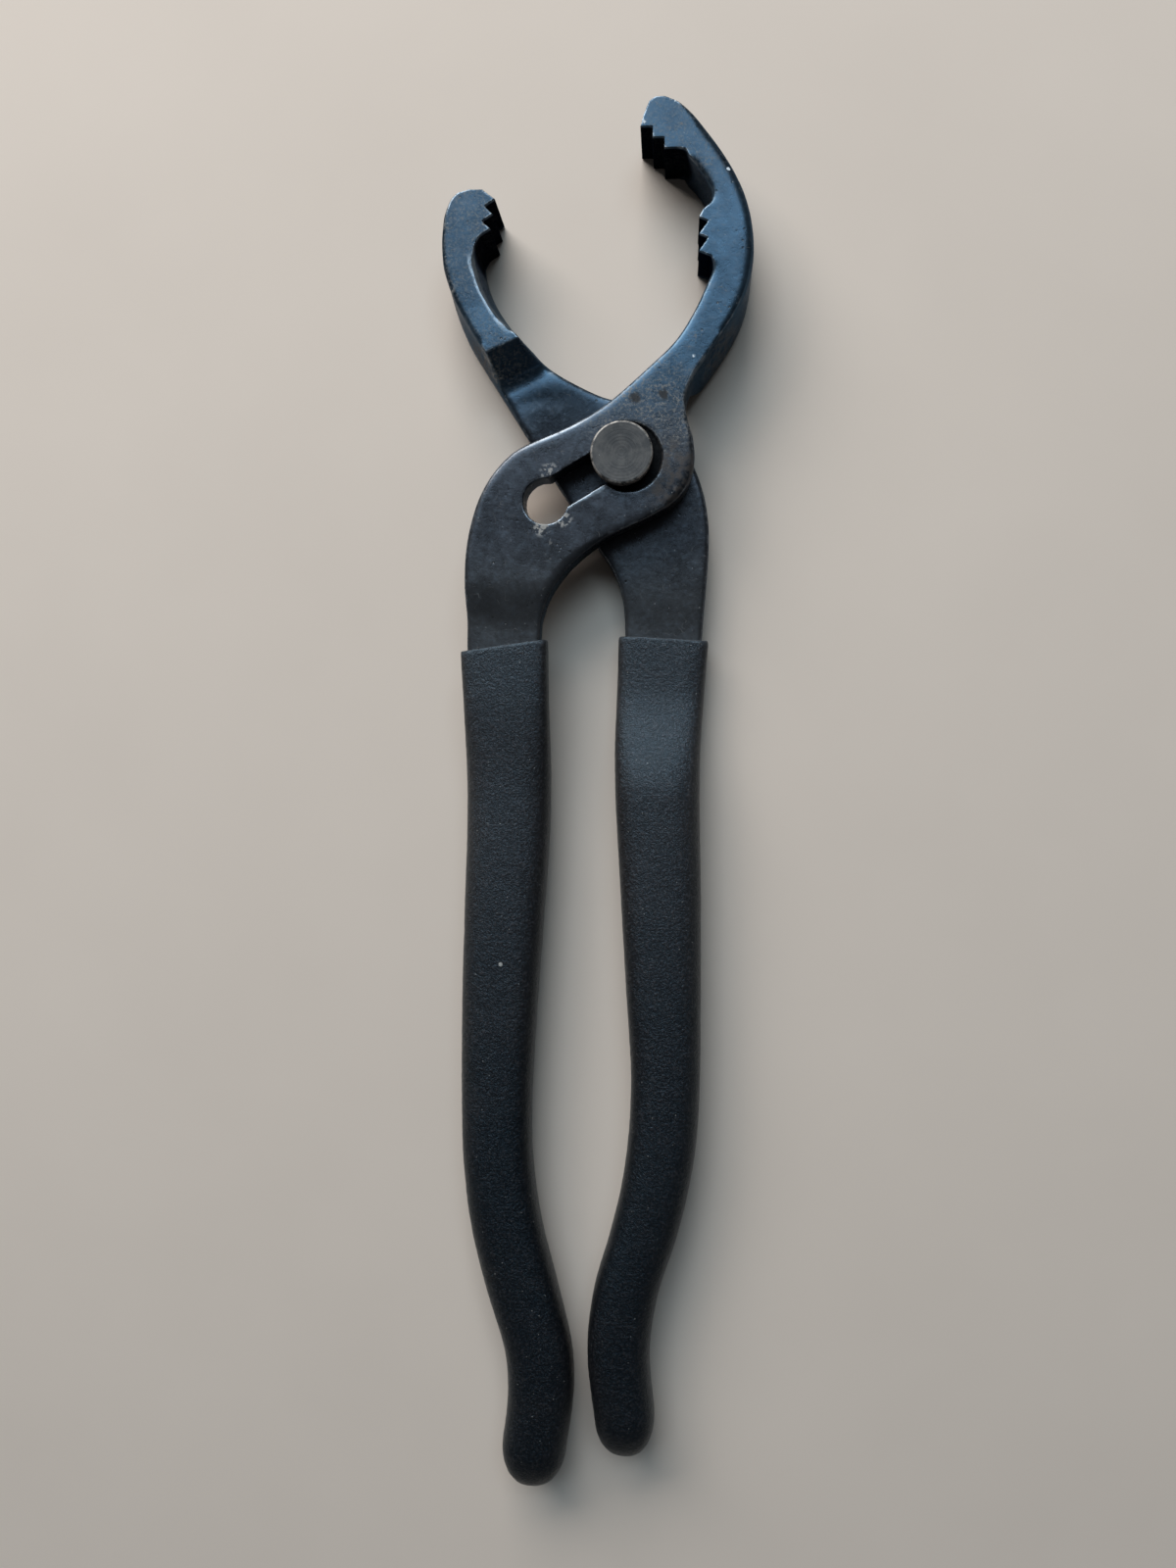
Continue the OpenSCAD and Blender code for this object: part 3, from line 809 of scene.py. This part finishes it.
LOWER_SHAPE = {
    "crisp": (
        ((-29, 49.5), 7, 10, 0.02),
        ((0, 0), 8, 11, 0.12),
    ),
    "crests": (
        (((-29.8, 20.8, 0), (-23, 24, 0)), 1.6, 3, 0.12),
        (((-32, 42, 0), (-31, 38, 0), (-28.6, 33.4, 0), (-25.3, 28.3, 0)), 1.4, 2.8, 0.3),
    ),
    "soft": (
        (((-28.5, 15.2, 1), (-16.5, 21.5, 1)), 2.6, 5.5, 9, 90),
    ),
    "drafts": (
        (((-26.9, 14.9, 1.2), (-30.4, 20.4, 1.9), (-34, 26.4, 1.7), (-36.7, 33, 1),
          (-38, 39, 0.3), (-38.1, 44.6, 0)), 6, 3, 14),
        (((-30.8, 43.6, 0.2), (-30.2, 40.4, 1.2), (-28.4, 35.4, 1.5), (-25.2, 29.8, 1.4),
          (-22, 26, 0.5)), 4.5, 8, 15),
    ),
    "troughs": (
        (((-27, 15.6, 0.3), (-17, 20.4, 0.34)), 3.4, 7.4),
        (((-25.5, 11.8, 0.14), (-17.5, 13.6, 0.16), (-9, 13.4, 0)), 2.2, 7.4),
    ),
    "rubs_and_highlights": (
        (((-32, 43, 0), (-31.5, 40, 1), (-29.8, 35, 1), (-26.7, 29.4, 1),
          (-24.2, 25.8, 0.4)), 1.5),
    ),
}

upper_paint = black_oxide(
    "black_oxide_upper", (((5, 9, 15), 17, 1.0), ((13, 63, 15), 15, 0.35)),
    # Painted shade on the jaw tip and on the boss's right side.
    painted_shades=(((15, 66, 15), 25, 0.36), ((14, -8, 15), 9, 0.5)),
    chips=(((-15.3, -3.4, 15), 2.6), ((-17.1, -14.9, 15), 2.4), ((-12.3, -13.2, 15), 2.4)),
    stains=(((21, 23, 6), 9), ((10, -4, 15), 9)),
    # Painted shade on the walls round both tooth groups.
    tooth_wall_shade=(((5.5, 62.5, 8), 11), ((15.5, 45, 8), 9.5)),
    flecks=(((21.8, 57.5, 14.6), 0.4), ((10.8, 71.3, 15), 0.32), ((4.5, 67.3, 15), 0.34),
            ((14.7, 20, 15), 0.34)),
    dirt=(((2.7, 11.6, 15), 1.5), ((8.7, 12.4, 15), 1.5)),
    # Painted shadow of the rivet head in the hollow round it.
    shadowed_hollow=((1.3, -0.4, 14.3), 7.3))
lower_paint = black_oxide(
    "black_oxide_lower",
    (((-34, 44, 15), 18, 0.5), ((-28, 27, 15), 9, 0.35), ((-25, 20.5, 11), 8, 1.0)),
    # Painted shade on the jaw tip and on the plate beside the boss.
    painted_shades=(((-36, 45, 15), 21, 0.48), ((-13.5, 9, 7.5), 13, 0.75)),
    chips=(((-29.2, 21.5, 12), 2.6), ((-27.5, 17.5, 9), 2.2), ((-36.5, 35, 14), 2)),
    stains=(((-31, 21.5, 8), 6), ((-37, 35, 9), 5)),
    # Painted shade on the walls round the tooth group.
    tooth_wall_shade=(((-26, 47.5, 8), 10),))

for side, shape, paint in (("upper", UPPER_SHAPE, upper_paint),
                           ("lower", LOWER_SHAPE, lower_paint)):
    lever = forging(f"{side}_forging", f"{side}_lever", shape, paint)
    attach(lever, f"{side}_arm")
    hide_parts(f"{side}_lever")

rubber = dipped_rubber("dipped_rubber")
for side in ("upper", "lower"):
    grip = sleeve(f"{side}_sleeve", f"{side}_grip", rubber)
    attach(grip, f"{side}_arm")
    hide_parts(f"{side}_grip")

pin = turned("rivet_pin", rivet_profile(), turned_steel("turned_steel", HEAD_RADIUS - 0.5), FLATS)
plate = turned("backing_washer", washer_profile(), turned_steel("washer_steel", 6.6), ring=True)
for piece, node in ((pin, "rivet"), (plate, "washer")):
    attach(piece, "rivet")
    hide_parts(node)


# ---------------------------------------------------------------- floor, light and camera

def lamp(name, place, target, size, power, colour):
    """Soft rectangular lamp; place and target are in metres."""
    data = bpy.data.lights.new(name, "AREA")
    data.shape = "RECTANGLE"
    data.size, data.size_y = size
    data.energy = power
    data.color = colour
    made = bpy.data.objects.new(name, data)
    made.location = place
    made.rotation_euler = (Vector(target) - Vector(place)).to_track_quat("-Z", "Y").to_euler()
    bpy.context.scene.collection.objects.link(made)


# Half the floor's width, and the gap below the object that keeps their faces apart.
REACH = 4.0
FLOOR_GAP = 0.05 * MM
FLOOR_TONES = ((0.515, 0.443, 0.383), (0.555, 0.479, 0.415))
WINDOW_LIGHT = (1.0, 0.985, 0.97)
SKY_LIGHT = (0.66, 0.85, 1.0)
ROOM_LIGHT = (0.95, 0.97, 1.0, 1)
ROOM_STRENGTH = 0.05
# The camera: its place in metres, the way it looks and the way its picture's top points.
CAMERA_PLACE = (10.59 * MM, -51.47 * MM, 266.30 * MM)
CAMERA_FORWARD = (-0.0702, -0.0705, -0.9950)
CAMERA_TOP = (-0.0050, 0.9975, -0.0704)

corners = [(-REACH, -REACH, 0), (REACH, -REACH, 0), (REACH, REACH, 0), (-REACH, REACH, 0)]
floor_mesh = bpy.data.meshes.new("floor")
floor_mesh.from_pydata(corners, [], [(0, 1, 2, 3)])
floor = link("floor", floor_mesh)
floor.location.z = cad_low.z - FLOOR_GAP
floor_paint = Paint("pale_floor")
floor_mesh.materials.append(floor_paint.finish(
    Base_Color=floor_paint.mix(floor_paint.noise(0.02), *FLOOR_TONES),
    Roughness=0.9, Specular_IOR_Level=0.1))

middle = (cad_low + cad_high) / 2
lamp("window", place=(-0.445, 0.97, 0.625), target=middle, size=(1.2, 0.6), power=23.8,
     colour=WINDOW_LIGHT)
lamp("sky", place=(-0.075, 0.895, 1.5), target=(0, 0.07, 0), size=(1.65, 0.75), power=18.6,
     colour=SKY_LIGHT)

world = bpy.data.worlds.new("room_light")
bpy.context.scene.world = world
world.use_nodes = True
background = world.node_tree.nodes["Background"]
background.inputs["Color"].default_value = ROOM_LIGHT
background.inputs["Strength"].default_value = ROOM_STRENGTH
bpy.context.scene.view_settings.view_transform = "Standard"

camera_data = bpy.data.cameras.new("camera")
camera_data.lens = 27.05
camera_data.sensor_width = 36
camera_data.clip_start = 0.01
camera = bpy.data.objects.new("camera", camera_data)
forward = Vector(CAMERA_FORWARD).normalized()
right = forward.cross(Vector(CAMERA_TOP)).normalized()
up = right.cross(forward)
camera.matrix_world = Matrix((
    (right.x, up.x, -forward.x, CAMERA_PLACE[0]),
    (right.y, up.y, -forward.y, CAMERA_PLACE[1]),
    (right.z, up.z, -forward.z, CAMERA_PLACE[2]),
    (0, 0, 0, 1)))
bpy.context.scene.collection.objects.link(camera)
bpy.context.scene.camera = camera
